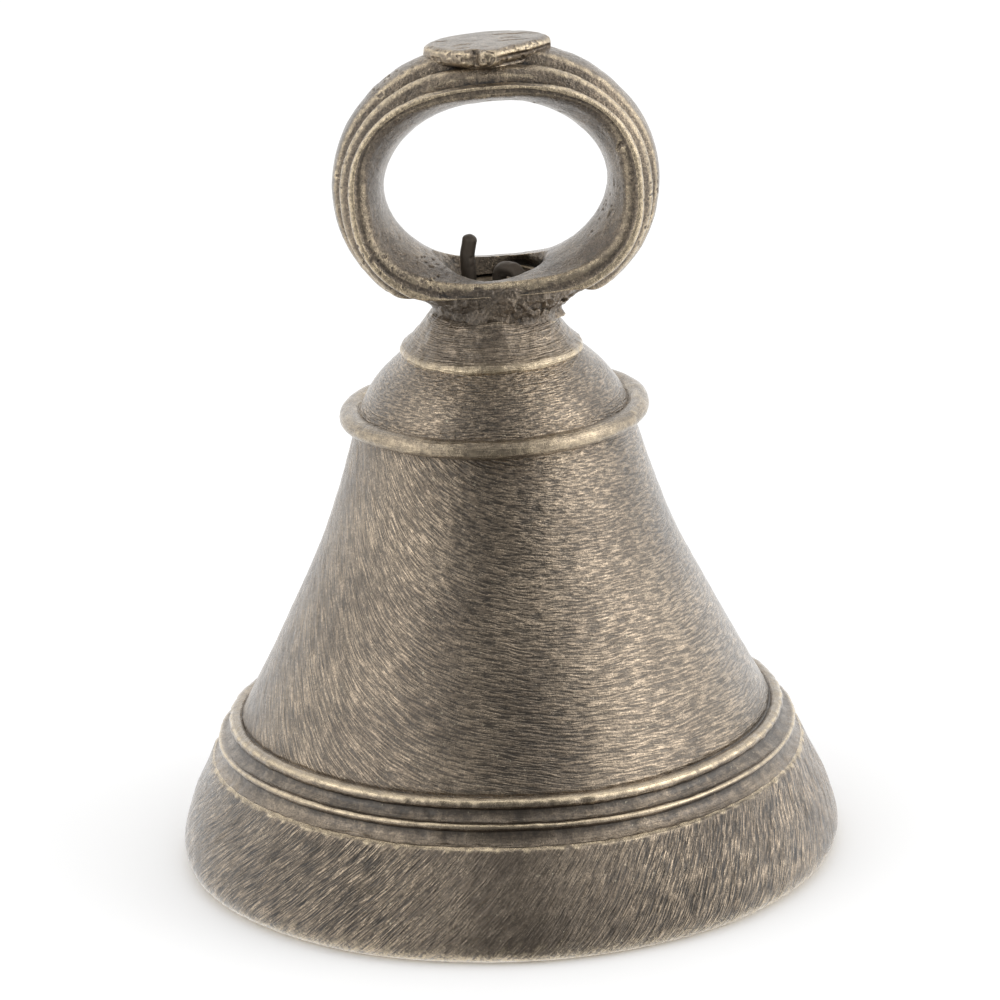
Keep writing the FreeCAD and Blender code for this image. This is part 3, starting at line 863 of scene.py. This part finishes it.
def colour(r, g, b):
    """An sRGB colour from 0 to 255 as linear RGBA."""
    def linear(v):
        v = v / 255
        return v / 12.92 if v < 0.04045 else ((v + 0.055) / 1.055) ** 2.4
    return (linear(r), linear(g), linear(b), 1.0)


def mottled(s, base, dark, blotch):
    """Patina colour: broad and small patches of the darker tone, and a few greenish ones."""
    tint = s.mix(s.window(s.cloud(8.0, 4, 0.6, seed=3), 0.35, 0.68, 0, 0.6), base, dark)
    tint = s.mix(s.window(blotch, 0.42, 0.72, 0, 0.35), tint, dark)
    return s.mix(s.window(s.cloud(4.0, 4, 0.6, seed=21), 0.62, 0.82, 0, 0.35), tint, colour(60, 58, 50))


def tool_marks(s, height, grain):
    """Adds the scraper's marks to a bump height and a colour grain, where the piece is filed."""
    coarse = s.window(s.cloud(0.34, 2, 0.5, (7, 1, 1), 4, "tooling"), 0.35, 0.65)
    fine = s.window(s.cloud(0.17, 2, 0.6, (11, 1, 1), 13, "tooling"), 0.36, 0.64)
    filed = s.attribute("filed")
    marks = s.maths("ADD", s.maths("MULTIPLY", coarse, 0.6), s.maths("MULTIPLY", fine, 0.9))
    height = s.maths("ADD", height, s.maths("MULTIPLY", marks, filed))
    streaks = s.maths("MULTIPLY", s.window(fine, 0.0, 1.0, 0.5, 1.5), s.window(coarse, 0.0, 1.0, 0.82, 1.18))
    streaks = s.maths("ADD", s.maths("MULTIPLY", s.maths("SUBTRACT", streaks, 1.0), filed), 1.0)
    return height, s.maths("MULTIPLY", grain, streaks)


def rub_and_glint_mask(s, wear, tooled):
    """How far each spot is worn bright: edges, and on tooled pieces the crests, with painted glints there,
    and the worn foot.
    """
    rub = s.window(s.attribute("edge"), wear[0], wear[1])
    rub = s.maths("MULTIPLY", rub, s.window(s.cloud(0.5, 4, 0.7, seed=27), 0.3, 0.62, 0.25, 1.0))
    if tooled:
        broken = s.window(s.cloud(0.9, 4, 0.7, seed=45), 0.3, 0.6, 0.3, 1.0)
        # Painted glints: bright lines along the marked crests, with some worn gold.
        rub = s.maths("MAXIMUM", rub, s.maths("MULTIPLY", s.attribute("crest"), broken))
        worn = s.attribute("worn")
        dapple = s.maths("ADD", s.cloud(0.35, 4, 0.75, seed=37), s.maths("MULTIPLY", worn, 0.22))
        rub = s.maths("MAXIMUM", rub, s.maths("MULTIPLY", s.window(dapple, 0.6, 0.7), worn))
    return rub


def bronze(name, base, dark, gold, tooled=False, grime_and_shade=1.0, sink=0.15, shine=0.36, bump=1.0,
           wear=(0.012, 0.05), rub_and_glint_by=0.9):
    """Patinated bronze: mottled brown-grey, dirt and painted shade in the hollows, worn gold on the edges,
    painted glints on the crests.
    """
    s = Shader(name)
    blotch = s.cloud(1.3, 5, 0.7, seed=8)
    speck = s.cloud(0.16, 3, 0.6, seed=5)
    grit = s.cloud(0.36, 3, 0.7, seed=51)
    grit_contrast, grit_bump = (0.14, 0.2) if tooled else (0.32, 0.9)
    grain = s.window(speck, 0.3, 0.7, 0.62, 1.38)
    grain = s.maths("MULTIPLY", grain, s.window(grit, 0.35, 0.65, 1 - grit_contrast, 1 + grit_contrast))
    height = s.maths("ADD", s.maths("MULTIPLY", speck, 0.5), s.maths("MULTIPLY", grit, grit_bump))
    if tooled:
        height, grain = tool_marks(s, height, grain)
    grey = s.add("ShaderNodeCombineXYZ", X=grain, Y=grain, Z=grain).outputs[0]
    tint = s.mix(1.0, mottled(s, base, dark, blotch), grey, "MULTIPLY")
    ragged = s.window(s.cloud(0.6, 4, 0.7, seed=17), 0.35, 0.65)
    hollow = s.maths("ADD", s.attribute("hollow"), s.maths("MULTIPLY", ragged, 0.07))
    # Painted shade and dirt: darker colour where the surface lies sunk in hollows, grooves and recesses.
    sunk = s.window(hollow, -sink, 0.02, 1, 0)
    tint = s.mix(s.maths("MULTIPLY", sunk, 0.75 * grime_and_shade), tint, colour(34, 29, 24))
    if tooled:
        # Darkens the staining and the painted front shade.
        tint = s.mix(s.attribute("stain_and_front_shade"), tint, s.mix(0.55, tint, dark))
    rub = rub_and_glint_mask(s, wear, tooled)
    # Worn gold on the edges and the worn foot, and painted glints on the crests.
    tint = s.mix(s.maths("MULTIPLY", rub, rub_and_glint_by), tint, gold)
    dots = s.window(s.cloud(0.3, 1, 0.4, seed=31), 0.73, 0.78)
    tint = s.mix(s.maths("MULTIPLY", dots, 0.6), tint, colour(190, 180, 155))
    polish = s.window(blotch, 0.3, 0.75, shine, shine + 0.12)
    polish = s.maths("ADD", polish, s.maths("MULTIPLY", sunk, 0.3))
    polish = s.maths("SUBTRACT", polish, s.maths("MULTIPLY", rub, 0.06))
    bumped = s.add("ShaderNodeBump", Height=height, Strength=0.7 * bump, Distance=0.00009).outputs[0]
    s.feed(s.surface.inputs["Base Color"], tint)
    s.feed(s.surface.inputs["Roughness"], polish)
    s.feed(s.surface.inputs["Normal"], bumped)
    s.feed(s.surface.inputs["Coat Normal"], bumped)
    s.surface.inputs["Metallic"].default_value = 0.96
    s.surface.inputs["Coat Weight"].default_value = 0.8
    s.surface.inputs["Coat IOR"].default_value = 1.65
    s.surface.inputs["Coat Roughness"].default_value = 0.3
    return s.material


def iron(name, base, rust):
    """Dark iron: brown scale over grey metal, with paler worn spots."""
    s = Shader(name)
    patch = s.cloud(1.8, 5, 0.65, seed=2)
    grain = s.cloud(0.25, 4, 0.6, seed=6)
    tint = s.mix(s.window(patch, 0.35, 0.7), base, rust)
    tint = s.mix(s.window(grain, 0.55, 0.8, 0, 0.6), tint, colour(92, 84, 76))
    rub = s.window(s.attribute("edge"), 0.01, 0.05)
    tint = s.mix(s.maths("MULTIPLY", rub, 0.5), tint, colour(120, 112, 102))
    bumped = s.add("ShaderNodeBump", Height=grain, Strength=0.6, Distance=0.00008)
    s.feed(s.surface.inputs["Base Color"], tint)
    s.feed(s.surface.inputs["Roughness"], s.window(patch, 0.3, 0.7, 0.42, 0.68))
    s.feed(s.surface.inputs["Normal"], bumped.outputs[0])
    s.surface.inputs["Metallic"].default_value = 0.75
    return s.material


# ---------------------------------------------------------------- studio


FLOOR_HALF = 3.0
# Brightness seen in reflections, round from the back (0) by the left and the front (0.5) to the back.
SHADES = [
    (0.0, 0.58), (0.25, 0.55), (0.4, 0.5), (0.42, 0.15), (0.5, 0.13), (0.58, 0.17), (0.62, 0.66), (0.8, 0.7),
]
SHADE_BEHIND = 0.6
SOFT_BOXES = (
    # name, place, power, size, seen in reflections
    ("soft_box_left", (-0.8, -0.3, 0.5), 1.2, 0.6, True),
    ("soft_box_right", (0.8, -0.15, 0.45), 1.8, 0.6, True),
    ("overhead", (0, 0.2, 1.6), 1.0, 1.4, False),
)


def pale_floor():
    """A wide matt white floor, left out of the bell's reflections."""
    mesh = bpy.data.meshes.new("floor")
    corners = [(x * FLOOR_HALF, y * FLOOR_HALF, 0) for x, y in ((-1, -1), (1, -1), (1, 1), (-1, 1))]
    mesh.from_pydata(corners, [], [(0, 1, 2, 3)])
    floor = bpy.data.objects.new("floor", mesh)
    bpy.context.scene.collection.objects.link(floor)
    paint = bpy.data.materials.new("floor_white")
    paint.use_nodes = True
    paint.node_tree.nodes["Principled BSDF"].inputs["Base Color"].default_value = (0.93, 0.93, 0.93, 1)
    paint.node_tree.nodes["Principled BSDF"].inputs["Roughness"].default_value = 0.9
    mesh.materials.append(paint)
    floor.visible_glossy = False


def surround():
    """An even white world, whose reflections are bright at the sides and dark in front."""
    world = bpy.data.worlds.new("studio")
    bpy.context.scene.world = world
    world.use_nodes = True
    tree = world.node_tree
    background = tree.nodes["Background"]
    direction = tree.nodes.new("ShaderNodeTexCoord")
    split = tree.nodes.new("ShaderNodeSeparateXYZ")
    tree.links.new(direction.outputs["Generated"], split.inputs[0])
    forward = tree.nodes.new("ShaderNodeMath")
    forward.operation = "MULTIPLY"
    forward.inputs[1].default_value = -1
    tree.links.new(split.outputs["Y"], forward.inputs[0])
    bearing = tree.nodes.new("ShaderNodeMath")
    bearing.operation = "ARCTAN2"
    tree.links.new(split.outputs["X"], bearing.inputs[0])
    tree.links.new(forward.outputs[0], bearing.inputs[1])
    share = tree.nodes.new("ShaderNodeMapRange")
    for index, number in enumerate((-math.pi, math.pi, 0, 1), 1):
        share.inputs[index].default_value = number
    tree.links.new(bearing.outputs[0], share.inputs[0])
    ramp = tree.nodes.new("ShaderNodeFloatCurve")
    curve = ramp.mapping.curves[0]
    for where, value in SHADES:
        curve.points.new(where, value)
    curve.points[-1].location = (1, SHADE_BEHIND)
    ramp.mapping.update()
    tree.links.new(share.outputs[0], ramp.inputs["Value"])
    sides = tree.nodes.new("ShaderNodeMath")
    sides.operation = "MULTIPLY"
    sides.inputs[1].default_value = 1.8
    tree.links.new(ramp.outputs[0], sides.inputs[0])
    ray = tree.nodes.new("ShaderNodeLightPath")
    even = tree.nodes.new("ShaderNodeMix")
    tree.links.new(ray.outputs["Is Glossy Ray"], even.inputs["Factor"])
    even.inputs["A"].default_value = 1.08
    tree.links.new(sides.outputs[0], even.inputs["B"])
    tree.links.new(even.outputs["Result"], background.inputs["Strength"])
    background.inputs["Color"].default_value = (1, 1, 1, 1)


def soft_boxes():
    """Large soft lights on both sides and overhead, aimed at the bell and hidden from the camera."""
    for name, spot, power, size, mirrored in SOFT_BOXES:
        light = bpy.data.lights.new(name, "AREA")
        light.energy = power
        light.size = size
        lamp = bpy.data.objects.new(name, light)
        lamp.location = spot
        lamp.rotation_euler = (Vector((0, 0, 0.03)) - Vector(spot)).to_track_quat("-Z", "Y").to_euler()
        lamp.visible_camera = False
        lamp.visible_glossy = mirrored
        bpy.context.scene.collection.objects.link(lamp)


def camera():
    """A long lens, a little above the bell, turned slightly so that the bell leans left."""
    target = Vector((0.21, 0, 36.8)) * MM
    distance, elevation, roll = 0.4378, math.radians(17.09), math.radians(-2.24)
    back = Vector((0, -math.cos(elevation), math.sin(elevation)))
    data = bpy.data.cameras.new("camera")
    data.sensor_width = 36
    data.lens = 155.2
    data.clip_start, data.clip_end = 0.01, 20
    eye = bpy.data.objects.new("camera", data)
    level = (-back).to_track_quat("-Z", "Y").to_matrix()
    tilted = (level @ Matrix.Rotation(roll, 3, "Z")).to_4x4()
    eye.matrix_world = Matrix.Translation(target + back * distance) @ tilted
    bpy.context.scene.collection.objects.link(eye)
    bpy.context.scene.camera = eye
    view = bpy.context.scene.view_settings
    view.view_transform = "Standard"
    view.look = "None"


# ---------------------------------------------------------------- assembly


def place(piece, body, node, material):
    """Finishes a piece: its relief, its material, the body it rides on and the node it stands for."""
    mark_relief(piece)
    piece.data.materials.clear()
    piece.data.materials.append(material)
    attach(piece, body)
    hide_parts(node)


def build():
    """Makes the nine pieces and puts each on its body, in place of its node."""
    gold = colour(226, 206, 172)
    base, dark = colour(142, 127, 108), colour(84, 72, 59)
    body = bronze("bell_patina", base, dark, gold, tooled=True, shine=0.22, bump=0.8, wear=(0.03, 0.1))
    smooth = bronze("collar_patina", base, dark, gold, tooled=True, shine=0.26, bump=1.2, wear=(0.03, 0.12))
    moulding = bronze("bead_patina", colour(152, 136, 114), dark, gold, tooled=True, shine=0.22,
                      wear=(0.035, 0.075))
    coarse = bronze("neck_patina", colour(134, 119, 101), colour(64, 56, 46), gold, shine=0.34, bump=1.6,
                    wear=(0.03, 0.16))
    band = bronze("ring_patina", colour(136, 121, 102), colour(62, 52, 43), gold, grime_and_shade=1.25, sink=0.07,
                  shine=0.24, bump=1.9, wear=(0.015, 0.06), rub_and_glint_by=0.85)
    plate = bronze("table_patina", colour(134, 119, 100), dark, gold, shine=0.28, bump=1.4,
                   wear=(0.006, 0.045))
    wire = iron("wire_iron", colour(58, 52, 46), colour(78, 62, 50))
    forged = iron("clapper_iron", colour(64, 58, 53), colour(86, 64, 48))
    place(bell_casting(), "bell", "bell_body", body)
    place(bead_moulding(), "bell", "shoulder_bead", moulding)
    place(collar_skirt(), "bell", "crown_collar", smooth)
    place(neck_casting(), "bell", "neck_joint", coarse)
    place(ring_band(), "bell", "ring_handle", band)
    place(table_plate(), "bell", "seal_table", plate)
    place(hanger(), "hanger", "hanger_wire", wire)
    place(clapper_shaft(), "clapper", "clapper_rod", forged)
    place(clapper_weight(), "clapper", "clapper_bob", forged)


build()
pale_floor()
surround()
soft_boxes()
camera()
